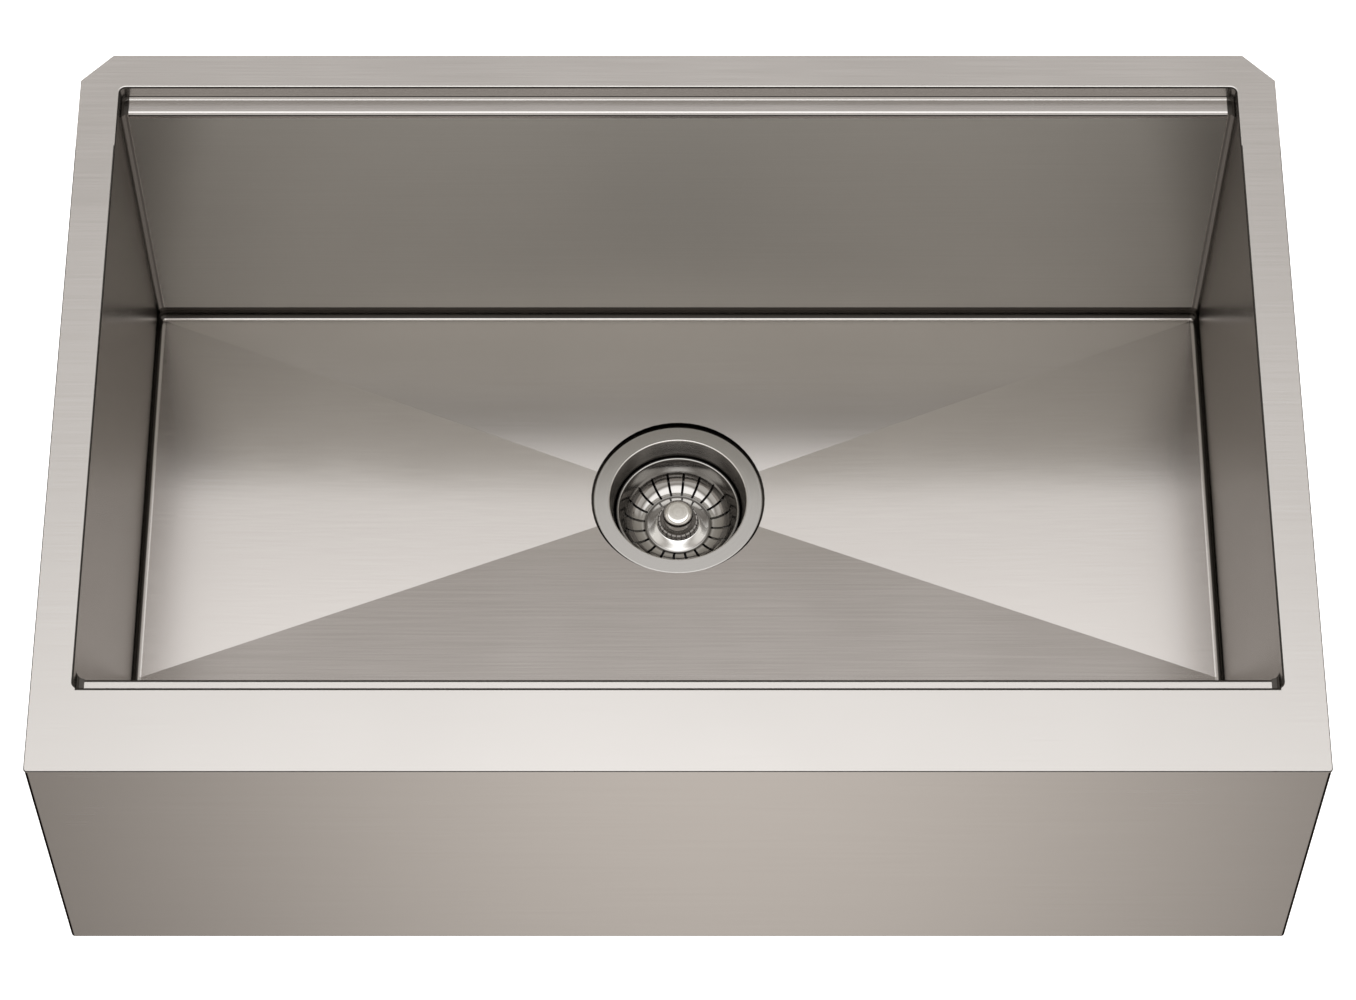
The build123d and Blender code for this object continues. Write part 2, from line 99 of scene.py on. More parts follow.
def mixedColor(tree, factor, first, second):
    node = tree.nodes.new("ShaderNodeMix")
    node.data_type = 'RGBA'
    feed(tree, node.inputs["Factor"], factor)
    colorSockets = [s for s in node.inputs if s.type == 'RGBA']
    for socket, value in zip(colorSockets, (first, second)):
        feed(tree, socket, value + (1,) if isinstance(value, tuple) else value)
    return [s for s in node.outputs if s.type == 'RGBA'][0]


def noiseOn(tree, vector, scale, detail=4.0):
    noise = tree.nodes.new("ShaderNodeTexNoise")
    noise.inputs["Scale"].default_value = scale
    noise.inputs["Detail"].default_value = detail
    feed(tree, noise.inputs["Vector"], vector)
    return noise.outputs["Fac"]


def bumped(tree, shader, height, strength, distance):
    bump = tree.nodes.new("ShaderNodeBump")
    bump.inputs["Strength"].default_value = strength
    bump.inputs["Distance"].default_value = distance
    feed(tree, bump.inputs["Height"], height)
    feed(tree, shader.inputs["Normal"], bump.outputs["Normal"])


def newFinish(name):
    mat = bpy.data.materials.new(name)
    mat.use_nodes = True
    tree = mat.node_tree
    coords = tree.nodes.new("ShaderNodeTexCoord")
    return mat, tree, tree.nodes["Principled BSDF"], coords.outputs


def split(tree, vector):
    node = tree.nodes.new("ShaderNodeSeparateXYZ")
    feed(tree, node.inputs["Vector"], vector)
    return node.outputs


def band(tree, value, edges):
    # one between the two middle edges, easing to nothing at the outer ones
    rise = eased(tree, value, edges[0], edges[1])
    fall = eased(tree, value, edges[2], edges[3], 1.0, 0.0)
    return maths(tree, 'MULTIPLY', rise, fall)


def length(tree, first, second):
    # of the two together, as the sides of a right angle
    squares = [maths(tree, 'MULTIPLY', side, side) for side in (first, second)]
    return maths(tree, 'SQRT', maths(tree, 'ADD', *squares))


def varied(tree, noise, middle, either):
    # noise lies mostly between these two values
    return eased(tree, noise, 0.3, 0.7, middle - either, middle + either)


def alongGrain(tree, coords, sideways, stretch):
    # the grain runs along X, or along Y on faces that look sideways
    space = tree.nodes.new("ShaderNodeMix")
    space.data_type = 'VECTOR'
    feed(tree, space.inputs["Factor"], maths(tree, 'ROUND', sideways))
    vectorSockets = [s for s in space.inputs if s.type == 'VECTOR' and "Factor" not in s.name]
    for socket, scale in zip(vectorSockets, ((stretch, 1, 1), (1, stretch, 1))):
        mapping = tree.nodes.new("ShaderNodeMapping")
        mapping.inputs["Scale"].default_value = scale
        feed(tree, mapping.inputs["Vector"], coords["Object"])
        feed(tree, socket, mapping.outputs["Vector"])
    return [s for s in space.outputs if s.type == 'VECTOR'][0]


def paintRearFacetLight(tree, tone, look, sideways, distance):
    # painted light on the rear facet: a painted highlight towards the wall and painted shade towards the
    # drain
    facet = maths(tree, 'MULTIPLY', maths(tree, 'LESS_THAN', sideways, look["facetTilt"]),
                  maths(tree, 'GREATER_THAN', distance, 0.0))
    for start, end, paintedRearTone, depth in look["rear"]:
        amount = maths(tree, 'MULTIPLY', eased(tree, distance, start, end, 0.0, depth), facet)
        tone = mixedColor(tree, amount, tone, paintedRearTone)
    return tone


def paintFoldShade(tree, tone, look, normal, place):
    # painted shade along folds and hems
    for axis, edges, depth in look.get("folds", ()):
        facing = maths(tree, 'ABSOLUTE', normal[axis])
        shade = maths(tree, 'MULTIPLY', band(tree, facing, edges), depth)
        if "unshadedBehind" in look:
            # but the painted shade is left off the fold along the back of the opening, where it starts
            # to turn down
            rear = maths(tree, 'GREATER_THAN', place["Y"], look["unshadedBehind"])
            unshadedFacing = maths(tree, 'MULTIPLY', eased(tree, facing, *look["unshadedFacing"]), rear)
            shade = maths(tree, 'MULTIPLY', shade, maths(tree, 'SUBTRACT', 1.0, unshadedFacing))
        tone = mixedColor(tree, shade, tone, look["paintedShadeTone"])
    # strips of painted shade beside a fold: distance from the middle, and how far they run across
    for axis, edges, across, half in look.get("strips", ()):
        strip = band(tree, maths(tree, 'ABSOLUTE', place[axis]), edges)
        within = maths(tree, 'LESS_THAN', maths(tree, 'ABSOLUTE', place[across]), half)
        tone = mixedColor(tree, maths(tree, 'MULTIPLY', strip, within), tone, look["paintedShadeTone"])
    # painted shade in the gap round the drain's flange
    if "ring" in look:
        reach = length(tree, place["X"], place["Y"])
        tone = mixedColor(tree, band(tree, reach, look["ring"]), tone, look["paintedShadeTone"])
    return tone


def paintCornerShade(tree, tone, corner, place):
    # painted shade towards the corners, and more so higher up
    inward = maths(tree, 'SUBTRACT', corner["halfWidth"], maths(tree, 'ABSOLUTE', place["X"]))
    height = maths(tree, 'SUBTRACT', place["Z"], corner["foot"])
    along = maths(tree, 'MULTIPLY_ADD', height, corner["lean"], inward)
    return mixedColor(tree, eased(tree, along, *corner["edges"], corner["depth"], 0.0),
                      tone, corner["tone"])


def onOutside(tree, coords, bowlMiddle):
    # one on faces that look away from the bowl's middle
    fromMiddle = tree.nodes.new("ShaderNodeVectorMath")
    fromMiddle.operation = 'SUBTRACT'
    feed(tree, fromMiddle.inputs[0], coords["Object"])
    fromMiddle.inputs[1].default_value = bowlMiddle
    outward = tree.nodes.new("ShaderNodeVectorMath")
    outward.operation = 'DOT_PRODUCT'
    feed(tree, outward.inputs[0], fromMiddle.outputs["Vector"])
    feed(tree, outward.inputs[1], coords["Normal"])
    return maths(tree, 'GREATER_THAN', outward.outputs["Value"], 0.0)


def brushedSheet(name, look):
    # folded stainless, with fine grain along the sheet
    mat, tree, shader, coords = newFinish(name)
    normal = split(tree, coords["Normal"])
    place = split(tree, coords["Object"])
    sideways = maths(tree, 'ABSOLUTE', normal["X"])
    grain = noiseOn(tree, alongGrain(tree, coords, sideways, look["stretch"]), look["grain"])
    cloud = noiseOn(tree, coords["Object"], look["cloud"], detail=2.0)
    tone = mixedColor(tree, grain, look["dark"], look["light"])
    if "rear" in look:
        tone = paintRearFacetLight(tree, tone, look, sideways, place["Y"])
    tone = paintFoldShade(tree, tone, look, normal, place)
    if "corner" in look:
        tone = paintCornerShade(tree, tone, look["corner"], place)
    rough = maths(tree, 'ADD', varied(tree, grain, 0.0, look["roughStep"]),
                  varied(tree, cloud, look["rough"], look["roughStep"]))
    height = grain
    if "coat" in look:
        # the outside of the bowl is sprayed with a gritty damping coat
        coated = onOutside(tree, coords, look["bowlMiddle"])
        grit = noiseOn(tree, coords["Object"], look["grit"], detail=3.0)
        tone = mixedColor(tree, coated, tone, mixedColor(tree, grit, look["coat"], look["coatLight"]))
        feed(tree, shader.inputs["Metallic"], maths(tree, 'SUBTRACT', 1.0, coated))
        rough = maths(tree, 'MAXIMUM', rough, maths(tree, 'MULTIPLY', coated, look["coatRough"]))
        height = maths(tree, 'ADD', maths(tree, 'MULTIPLY', grit, coated), grain)
    else:
        shader.inputs["Metallic"].default_value = 1.0
    feed(tree, shader.inputs["Base Color"], tone)
    feed(tree, shader.inputs["Roughness"], rough)
    shader.inputs["Specular Tint"].default_value = look["edgeTone"] + (1,)
    bumped(tree, shader, height, look["bump"], 0.0001)
    return mat


sheetLook = {
    "dark": (0.560, 0.536, 0.518), "light": (0.615, 0.593, 0.578), "paintedShadeTone": (0.035, 0.031, 0.027),
    "edgeTone": (0.68, 0.67, 0.66), "grain": 900.0, "stretch": 0.012, "cloud": 7.0,
    "rough": 0.25, "roughStep": 0.012, "bump": 0.025,
}
bowlLook = {
    **sheetLook, "coat": (0.115, 0.113, 0.110), "coatLight": (0.165, 0.162, 0.158),
    "coatRough": 0.85, "grit": 700.0, "bowlMiddle": (0.0, -0.068, 0.1),
}
# a fold is an axis, how squarely the face looks along it at the band's edges, and how dark its painted
# shade gets
sheetFinishes = {
    "deckSteel": ("deck_rim", {
        **sheetLook, "unshadedBehind": 0.12, "unshadedFacing": (0.8, 0.92),
        "strips": [("Y", (0.29, 0.30, 0.3053, 0.3056), "X", 0.3885)],
        "folds": [("Z", (0.02, 0.1, 0.985, 0.9995), 0.95)]}),
    "floorSteel": ("bowl_floor", {
        **bowlLook, "dark": (0.540, 0.510, 0.490), "light": (0.594, 0.565, 0.547), "rough": 0.20,
        "facetTilt": 0.002,
        # the rear facet's painted shade towards the drain and painted highlight towards the wall
        "rear": [(0.115, 0.060, (0.28, 0.265, 0.255), 0.6), (0.105, 0.165, (0.68, 0.645, 0.622), 1.0)],
        "ring": (0.0612, 0.062, 0.0636, 0.06376),
        "folds": [("Z", (-2.0, -1.0, 0.86, 0.96), 0.95)]}),
    "backSteel": ("bowl_wall_back", {
        **bowlLook, "dark": (0.698, 0.686, 0.650), "light": (0.767, 0.755, 0.722), "rough": 0.58,
        # painted shade in the back wall's corners
        "corner": {"halfWidth": 0.3875, "foot": -0.274, "lean": -0.23, "edges": (-0.05, 0.015),
                   "depth": 0.6, "tone": (0.30, 0.285, 0.265)}}),
    # the side walls are brushed lengthwise and look darker from the front
    "wallSteel": ("bowl_wall", {
        **bowlLook, "dark": (0.565, 0.535, 0.510), "light": (0.620, 0.590, 0.566),
        "folds": [("X", (0.06, 0.2, 0.35, 0.55), 0.75), ("X", (0.35, 0.55, 0.80, 0.90), 0.6),
                  ("X", (0.80, 0.90, 0.96, 0.998), 0.75), ("Z", (0.15, 0.4, 2.0, 3.0), 0.93)]}),
    "ledgeSteel": ("ledge", {**bowlLook, "folds": [("Y", (0.80, 0.93, 0.985, 0.9995), 0.9)]}),
    "frontLedgeSteel": ("ledge_front", {**bowlLook, "folds": [("Y", (0.05, 0.15, 2.0, 3.0), 0.95)]}),
    "riserSteel": ("riser", bowlLook),
    "apronSteel": ("apron_panel", {
        **sheetLook, "edgeTone": (0.3, 0.29, 0.28), "folds": [("Y", (0.0, 0.05, 0.98, 0.9996), 0.98)]}),
}


def turnedMetal(name, look):
    # fine rings about the drain's axis
    mat, tree, shader, coords = newFinish(name)
    place = split(tree, coords["Object"])
    reach = length(tree, place["X"], place["Y"])
    rings = tree.nodes.new("ShaderNodeCombineXYZ")
    feed(tree, rings.inputs["X"], reach)
    feed(tree, rings.inputs["Z"], place["Z"])
    lines = noiseOn(tree, rings.outputs["Vector"], look["lines"], detail=3.0)
    tone = mixedColor(tree, lines, look["dark"], look["light"])
    if "deep" in look:
        # painted shade, darker the further down the drain it lies
        tone = mixedColor(tree, eased(tree, place["Z"], *look["deep"], 1.0, 0.0), tone, look["deepShadeTone"])
    # rings of painted highlight and painted shade, by their distance from the axis and by height
    for key, value in (("zones", reach), ("paintedLevels", place["Z"])):
        for edges, paintedTone in look.get(key, ()):
            tone = mixedColor(tree, band(tree, value, edges), tone, paintedTone)
    if "cutReach" in look:
        # painted shade on the upright sheared sides of the slots
        facingUp = maths(tree, 'ABSOLUTE', split(tree, coords["Normal"])["Z"])
        slotShade = maths(tree, 'MULTIPLY', eased(tree, facingUp, *look["cutFacing"], 1.0, 0.0),
                        maths(tree, 'LESS_THAN', reach, look["cutReach"]))
        tone = mixedColor(tree, slotShade, tone, look["slotShadeTone"])
    feed(tree, shader.inputs["Base Color"], tone)
    shader.inputs["Metallic"].default_value = 1.0
    feed(tree, shader.inputs["Roughness"], varied(tree, lines, look["rough"], 0.04))
    bumped(tree, shader, lines, look["bump"], 0.0001)
    return mat


def gritty(name, look):
    # rubber, nylon, cast or coated surfaces: two tones of fine grain
    mat, tree, shader, coords = newFinish(name)
    grain = noiseOn(tree, coords["Object"], look["grain"])
    feed(tree, shader.inputs["Base Color"], mixedColor(tree, grain, look["dark"], look["light"]))
    shader.inputs["Metallic"].default_value = look.get("metal", 0.0)
    feed(tree, shader.inputs["Roughness"], varied(tree, grain, look["rough"], 0.06))
    bumped(tree, shader, grain, look["bump"], 0.0002)
    return mat


# rings and levels of painted highlight and painted shade are bands, in metres from the axis or above the
# deck, and their tones
turnedLooks = {
    "drainSteel": {
        "dark": (0.37, 0.357, 0.342), "light": (0.44, 0.427, 0.411), "lines": 1600.0,
        "rough": 0.22, "bump": 0.04, "deep": (-0.294, -0.2841), "deepShadeTone": (0.22, 0.21, 0.20),
        "zones": [((0.0500, 0.0502, 0.0508, 0.0510), (0.85, 0.83, 0.80))]},
    "basketSteel": {
        "dark": (0.42, 0.405, 0.39), "light": (0.50, 0.485, 0.465), "lines": 1600.0,
        "rough": 0.12, "bump": 0.03,
        "cutReach": 0.0399, "cutFacing": (0.05, 0.2), "slotShadeTone": (0.02, 0.019, 0.018),
        "zones": [((-0.2, -0.1, 0.0220, 0.0226), (0.86, 0.85, 0.83)),
                  ((0.0225, 0.0236, 0.0245, 0.0262), (0.15, 0.142, 0.134)),
                  ((0.034, 0.0395, 0.08, 0.09), (0.30, 0.29, 0.28)),
                  ((0.0435, 0.0437, 0.0444, 0.0446), (0.50, 0.49, 0.475)),
                  ((0.0444, 0.0446, 0.08, 0.09), (0.11, 0.105, 0.10))]},
    "knobSteel": {
        "dark": (0.74, 0.72, 0.69), "light": (0.80, 0.78, 0.75), "lines": 1200.0,
        "rough": 0.12, "bump": 0.03,
        "paintedLevels": [((-1.0, -0.9, -0.3062, -0.3056), (0.40, 0.385, 0.37)),
                   ((-1.0, -0.9, -0.3153, -0.3145), (0.16, 0.15, 0.14)),
                   ((-0.3050, -0.3045, -0.3026, -0.3019), (0.06, 0.056, 0.052))]},
    "tubeChrome": {"dark": (0.44, 0.445, 0.45), "light": (0.52, 0.525, 0.53), "lines": 700.0,
                   "rough": 0.14, "bump": 0.05},
    "nutBrass": {"dark": (0.56, 0.42, 0.20), "light": (0.66, 0.51, 0.27), "lines": 900.0,
                 "rough": 0.28, "bump": 0.15},
}
grittyLooks = {
    "padRubber": {"dark": (0.017, 0.017, 0.018), "light": (0.036, 0.036, 0.037), "grain": 900.0,
                  "rough": 0.72, "bump": 0.35},
    "sealRubber": {"dark": (0.011, 0.011, 0.012), "light": (0.022, 0.022, 0.022), "grain": 500.0,
                   "rough": 0.55, "bump": 0.12},
    "fibreBoard": {"dark": (0.30, 0.19, 0.10), "light": (0.45, 0.31, 0.18), "grain": 1100.0,
                   "rough": 0.85, "bump": 0.4},
    "castZinc": {"dark": (0.40, 0.40, 0.395), "light": (0.50, 0.50, 0.49), "grain": 800.0,
                 "rough": 0.48, "bump": 0.35, "metal": 1.0},
    "whiteNylon": {"dark": (0.76, 0.76, 0.72), "light": (0.82, 0.82, 0.78), "grain": 300.0,
                   "rough": 0.42, "bump": 0.05},
    "zincSheet": {"dark": (0.42, 0.43, 0.44), "light": (0.56, 0.57, 0.57), "grain": 160.0,
                  "rough": 0.4, "bump": 0.06, "metal": 1.0},
}
finishes = {name: turnedMetal(name, look) for name, look in turnedLooks.items()}
for finishName, look in grittyLooks.items():
    finishes[finishName] = gritty(finishName, look)
nodeFinishes = {
    "strainer_body": "drainSteel", "strainer_cross": "drainSteel", "post_socket": "drainSteel",
    "basket_cup": "basketSteel", "basket_knob": "knobSteel", "basket_post": "knobSteel",
    "seal_plate": "knobSteel", "stopper_seal": "sealRubber", "flange_seal": "sealRubber",
    "sink_gasket": "sealRubber", "friction_ring": "fibreBoard", "strainer_locknut": "castZinc",
    "slip_washer": "whiteNylon", "post_sleeve": "whiteNylon", "coupling_nut": "nutBrass",
    "tailpiece": "tubeChrome", "apron_brace": "zincSheet", "floor_pad": "padRubber",
    "wall_pad": "padRubber", "apron_pad": "padRubber",
}
for finishName, (start, look) in sheetFinishes.items():
    finishes[finishName] = brushedSheet(finishName, look)
    nodeFinishes[start] = finishName


def coatWith(obj, finishName):
    obj.data.materials.clear()
    obj.data.materials.append(finishes[finishName])


for nodeName, node in nodes.items():
    start = max((s for s in nodeFinishes if nodeName.startswith(s)), key=len)
    coatWith(node, nodeFinishes[start])
print("finishes made:", len(finishes))

studio = {
    "floorZ": -0.4512,               # just under the tail tube
    "floorSize": 14.0,
    "floorRough": 0.9,
    "floorTone": (0.80, 0.79, 0.78),
    # the floor's colour in the metal, darker as a painted shade in its reflection
    "toneMirrored": (0.31, 0.29, 0.27),
    "floorShown": 0.94,              # how white the floor is to the camera
    "floorMirrored": 1.77,           # and how strongly it glows in the metal, a painted reflection, at its brightest
    "floorFaint": 0.05,              # and there at its faintest
    "mirrorCentre": (-0.04, 0.35, 0.0),
    "mirrorStretch": (1.0, 0.6, 1.0),
    "mirrorReach": 0.84,
    "mirrorTint": (1.0, 0.95, 0.90),
    "skyBehind": 0.139,              # the brightest place lies a little behind the zenith
    "skyNarrow": 1.045,              # it is narrower from front to back than across
    "skyForward": -0.7,              # but drawn out forward by this
    # distance from that place, as a sine, and the sky's colour there
    "skyStops": [(0.0, (2.05, 2.05, 2.05)), (0.276, (1.95, 1.95, 1.94)),
                 (0.458, (0.445, 0.418, 0.39)), (0.60, (0.80, 0.775, 0.74)),
                 (0.80, (0.84, 0.815, 0.78)), (1.0, (1.0, 0.985, 0.965))],
    "skyScale": 2.1,
}


def addFloor(s):
    bpy.ops.mesh.primitive_plane_add(size=s["floorSize"], location=(0, 0, s["floorZ"]))
    floor = bpy.context.object
    floor.name = "studioFloor"
    bpy.ops.object.transform_apply(location=True)
    mat, tree, shader, coords = newFinish("paleFloor")
    shader.inputs["Roughness"].default_value = s["floorRough"]
    path = tree.nodes.new("ShaderNodeLightPath").outputs
    feed(tree, shader.inputs["Base Color"],
         mixedColor(tree, path["Is Glossy Ray"], s["floorTone"], s["toneMirrored"]))
    # white to the camera; in the metal it glows as a painted reflection, brightest in front of the sink
    mapping = tree.nodes.new("ShaderNodeMapping")
    mapping.inputs["Location"].default_value = s["mirrorCentre"]
    mapping.inputs["Scale"].default_value = s["mirrorStretch"]
    feed(tree, mapping.inputs["Vector"], coords["Object"])
    away = tree.nodes.new("ShaderNodeVectorMath")
    away.operation = 'LENGTH'
    feed(tree, away.inputs[0], mapping.outputs["Vector"])
    fade = eased(tree, away.outputs["Value"], 0.0, s["mirrorReach"], s["floorMirrored"], s["floorFaint"])
    mirrored = maths(tree, 'MULTIPLY', path["Is Glossy Ray"], fade)
    shown = maths(tree, 'MAXIMUM', path["Is Camera Ray"], path["Is Transmission Ray"])
    feed(tree, shader.inputs["Emission Color"],
         mixedColor(tree, path["Is Glossy Ray"], (1.0, 1.0, 1.0), s["mirrorTint"]))
    feed(tree, shader.inputs["Emission Strength"],
         maths(tree, 'MULTIPLY_ADD', shown, s["floorShown"], mirrored))
    floor.data.materials.append(mat)


def addSky(s):
    world = bpy.context.scene.world or bpy.data.worlds.new("studioSky")
    bpy.context.scene.world = world
    world.use_nodes = True
    tree = world.node_tree
    backdrop = tree.nodes["Background"]
    coords = tree.nodes.new("ShaderNodeTexCoord")
    towards = split(tree, coords.outputs["Generated"])
    behind = maths(tree, 'SUBTRACT', towards["Y"], s["skyBehind"])
    behind = maths(tree, 'MULTIPLY', behind, s["skyNarrow"])
    behind = maths(tree, 'MAXIMUM', behind, maths(tree, 'MULTIPLY', behind, s["skyForward"]))
    away = maths(tree, 'MAXIMUM', length(tree, towards["X"], behind),
                 maths(tree, 'SUBTRACT', 1.0, towards["Z"]))
    ramp = tree.nodes.new("ShaderNodeValToRGB")
    ramp.color_ramp.interpolation = 'EASE'
    while len(ramp.color_ramp.elements) < len(s["skyStops"]):
        ramp.color_ramp.elements.new(0.5)
    for element, (at, tone) in zip(ramp.color_ramp.elements, s["skyStops"]):
        element.position = at
        element.color = [c / s["skyScale"] for c in tone] + [1]
    feed(tree, ramp.inputs["Fac"], away)
    path = tree.nodes.new("ShaderNodeLightPath").outputs
    white = (1 / s["skyScale"],) * 3
    feed(tree, backdrop.inputs["Color"],
         mixedColor(tree, path["Is Camera Ray"], ramp.outputs["Color"], white))
    backdrop.inputs["Strength"].default_value = s["skyScale"]


addFloor(studio)
addSky(studio)
print("stage and light set")


near = 0.00001           # two places closer than this are one, and a merge joins what is nearer still
mergeReach = 0.000004
smoothAngle = 32         # faces that meet flatter than this, in degrees, are shaded as one


def enterEdit(obj):
    clearSelection()
    obj.select_set(True)
    bpy.context.view_layer.objects.active = obj
    bpy.ops.object.mode_set(mode='EDIT')
    bpy.ops.mesh.select_all(action='SELECT')


def leaveEdit():
    # merged, and with its faces turned outwards
    bpy.ops.mesh.select_mode(type='VERT')
    bpy.ops.mesh.select_all(action='SELECT')
    bpy.ops.mesh.remove_doubles(threshold=mergeReach)
    bpy.ops.mesh.normals_make_consistent(inside=False)
    bpy.ops.object.mode_set(mode='OBJECT')
    faces = bpy.context.object.data.polygons
    if sum(face.center.dot(face.normal) * face.area for face in faces) < 0:
        # a flat pad with pockets can still come out inside out
        bpy.ops.object.mode_set(mode='EDIT')
        bpy.ops.mesh.flip_normals()
        bpy.ops.object.mode_set(mode='OBJECT')


def pick(obj, kind, test):
    # in edit mode, select the faces or edges that pass the test
    bpy.ops.mesh.select_mode(type=kind)
    bpy.ops.mesh.select_all(action='DESELECT')
    bpy.ops.object.mode_set(mode='OBJECT')
    mesh = obj.data
    for item in mesh.polygons if kind == 'FACE' else mesh.edges:
        item.select = test(item, [mesh.vertices[v].co for v in item.vertices])
    bpy.ops.object.mode_set(mode='EDIT')


def applied(obj, kind, **settings):
    clearSelection()
    obj.select_set(True)
    bpy.context.view_layer.objects.active = obj
    modifier = obj.modifiers.new(kind.title(), kind)
    for key, value in settings.items():
        setattr(modifier, key, value)
    bpy.ops.object.modifier_apply(modifier=modifier.name)


def bevelled(obj, width, angle):
    # on edges that turn by more than the angle, in degrees
    applied(obj, 'BEVEL', width=width, segments=2, limit_method='ANGLE', angle_limit=math.radians(angle))


def cutWith(obj, tool, operation='DIFFERENCE'):
    applied(obj, 'BOOLEAN', operation=operation, object=tool, solver='EXACT')
    bpy.data.objects.remove(tool)


def settle(obj, name, finishName):
    # origin at the row's origin, smooth curved faces, its finish
    clearSelection()
    obj.select_set(True)
    bpy.context.view_layer.objects.active = obj
    bpy.ops.object.transform_apply(location=True, rotation=True, scale=True)
    bpy.ops.object.shade_smooth_by_angle(angle=math.radians(smoothAngle))
    obj.name = name
    coatWith(obj, finishName)
    return obj


def camel(nodeName):
    first, *others = nodeName.split("_")
    return first + "".join(word.title() for word in others)


def standFor(obj, body, slotName, *nodeNames):
    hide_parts(*nodeNames)
    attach(obj, body)


def lathe(rings, steps):
    # a circle pulled along and scaled, ring after ring; it is capped unless it comes back on itself
    clearSelection()
    radius, z = rings[0]
    capped = rings[0] != rings[-1]
    bpy.ops.mesh.primitive_circle_add(vertices=steps, radius=radius, location=(0, 0, z),
                                      fill_type='TRIFAN' if capped else 'NOTHING')
    obj = bpy.context.object
    bpy.ops.object.transform_apply(location=True)
    enterEdit(obj)
    if capped:
        bpy.ops.mesh.region_to_loop()
    for newRadius, newZ in rings[1:]:
        bpy.ops.mesh.extrude_region_move(TRANSFORM_OT_translate={"value": (0, 0, newZ - z)})
        grow = newRadius / radius
        bpy.ops.transform.resize(value=(grow, grow, 1), center_override=(0, 0, newZ))
        radius, z = newRadius, newZ
    if capped:
        bpy.ops.mesh.extrude_region_move()
        bpy.ops.mesh.merge(type='CENTER')
    leaveEdit()
    return obj


def threadRidge(t, share, steps):
    # a triangle with one corner out at the crest, as wide as its share of the pitch, wound up the core
    clearSelection()
    radius = (t["crest"] - t["core"]) / 1.5
    foot = flangeZ - t["foot"] / 1000
    bpy.ops.mesh.primitive_circle_add(vertices=3, radius=radius, fill_type='NOTHING',
                                      location=(t["core"] + radius / 2, 0, foot),
                                      rotation=(math.pi / 2, math.pi / 2, 0))
    ridge = bpy.context.object
    stretch = share * t["pitch"] / (math.sqrt(3) * radius)
    bpy.ops.transform.resize(value=(1, 1, stretch))
    bpy.ops.object.transform_apply(location=True, rotation=True, scale=True)
    applied(ridge, 'SCREW', axis='Z', angle=2 * math.pi, screw_offset=t["pitch"],
            iterations=t["turns"], steps=steps, render_steps=steps)
    enterEdit(ridge)
    bpy.ops.mesh.fill_holes(sides=3)
    leaveEdit()
    return ridge


def joined(first, *others):
    clearSelection()
    for obj in (first, *others):
        obj.select_set(True)
    bpy.context.view_layer.objects.active = first
    bpy.ops.object.join()
    return first


def arcPoints(start, via, end, steps):
    # along the arc from start through via to end, which is less than half a turn
    (ax, ay), (bx, by), (cx, cy) = start, via, end
    a, b, c = (x * x + y * y for x, y in (start, via, end))
    twice = 2 * (ax * (by - cy) + bx * (cy - ay) + cx * (ay - by))
    centre = Vector((a * (by - cy) + b * (cy - ay) + c * (ay - by),
                     a * (cx - bx) + b * (ax - cx) + c * (bx - ax))) / twice
    first, last = Vector(start) - centre, Vector(end) - centre
    sweep = math.atan2(first.cross(last), first.dot(last))
    return [tuple(centre + Matrix.Rotation(sweep * k / steps, 2) @ first) for k in range(steps + 1)]


def roundedCorner(before, corner, after, size, steps):
    here = Vector(corner)
    back = (Vector(before) - here).normalized()
    ahead = (Vector(after) - here).normalized()
    half = back.angle(ahead) / 2
    reach = size / math.tan(half)
    via = here + (back + ahead).normalized() * (size / math.sin(half) - size)
    return arcPoints(here + back * reach, via, here + ahead * reach, steps)


def outline(path):
    # a plain corner is (radius, depth), a rounded one has its size and steps as well, and an
    # arc on from the last point is (via, end, steps)
    points = []
    spots = [part[1] if len(part) == 3 else part[:2] for part in path]
    for k, part in enumerate(path):
        if len(part) == 3:
            points += arcPoints(points[-1], *part)[1:]
        elif len(part) == 4:
            points += roundedCorner(spots[k - 1], spots[k], spots[(k + 1) % len(path)], *part[2:])
        else:
            points.append(part)
    return points


flangeZ = -0.2826        # top of the drain's flange


def atDepth(points):
    # radius and depth below the flange, in millimetres, made metres
    return [(radius / 1000, flangeZ - depth / 1000) for radius, depth in points]


def closed(points):
    return points + points[:1]


strainer = {
    "steps": 160,
    # from the flange's edge over the lip, down the cup and outlet, and back up outside
    "outline": [(62.2, 1.4, 0.65, 2), (62.2, 0.0, 0.7, 2), (61.3, 0.0), (51.25, 0.0),
                (50.31, 0.0, 0.9, 3), (50.08, 1.1), (46.6, 17.56, 1.0, 2), (45.01, 19.24, 1.1, 2),
                (42.81, 45.0, 2.9, 3), (39.9, 45.0), (21.2, 45.0), (20.0, 45.0, 1.0, 2),
                (20.0, 63.6), (20.4, 64.0), (22.2, 64.0), (22.6, 63.5), (22.6, 48.0), (23.3, 47.0),
                (40.8, 47.0), (43.2, 46.1), (44.8, 43.4), (46.8, 24.0), (47.2, 23.0), (50.8, 23.0),
                (51.15, 22.6), (51.15, 2.2), (51.9, 1.4)],
    # the collar's and the spigot's
    "threads": [{"core": 0.0511, "crest": 0.05188, "pitch": 0.0021, "turns": 9, "foot": 22.0},
                {"core": 0.02255, "crest": 0.02328, "pitch": 0.0022, "turns": 6, "foot": 62.6}],
    "threadShare": 0.8, "threadSteps": 72,
}


def addStrainerBody(s):
    body = lathe(atDepth(closed(outline(s["outline"]))), s["steps"])
    ridges = [threadRidge(thread, s["threadShare"], s["threadSteps"]) for thread in s["threads"]]
    settle(joined(body, *ridges), "strainerBody", "drainSteel")
    standFor(body, "sink", "strainer_steel", "strainer_body")


